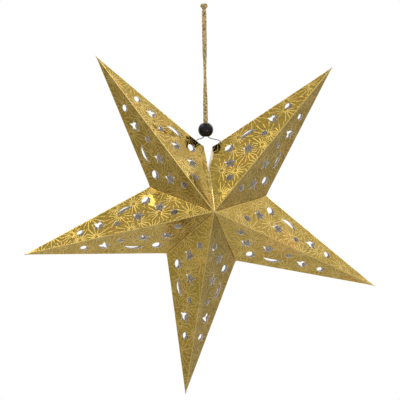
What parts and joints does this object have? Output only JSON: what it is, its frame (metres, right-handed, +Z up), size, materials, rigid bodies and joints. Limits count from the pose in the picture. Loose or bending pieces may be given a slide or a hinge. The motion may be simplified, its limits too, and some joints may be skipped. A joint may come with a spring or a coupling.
{
  "type": "paper star lantern",
  "caption": "Hanging five-point star lantern of folded metallic card with punched stars, moons and dots, glued arm to arm, with a bead and a braided hanging cord.",
  "frame": {"origin": "centre of the knot at the top of the hanging cord, from which the lantern hangs", "axes": "+Z up along the plumb line of the cord, the front of the star faces -Y and +X is to its right, as it hangs"},
  "size_m": [0.3033, 0.096, 0.3355],
  "materials": {
    "foil_card": "gloss",
    "bead": "gloss",
    "cord": "satin",
    "thread": "satin"
  },
  "bodies": {
    "root": {"upper_right_arm": "foil_card", "right_arm": "foil_card", "bottom_arm": "foil_card", "left_arm": "foil_card", "upper_left_arm": "foil_card", "bead": "bead", "hanging_cord": "cord", "cord_knot": "cord", "tie_thread": "thread", "left_stopper": "thread", "right_stopper": "thread"}
  },
  "joints": []
}
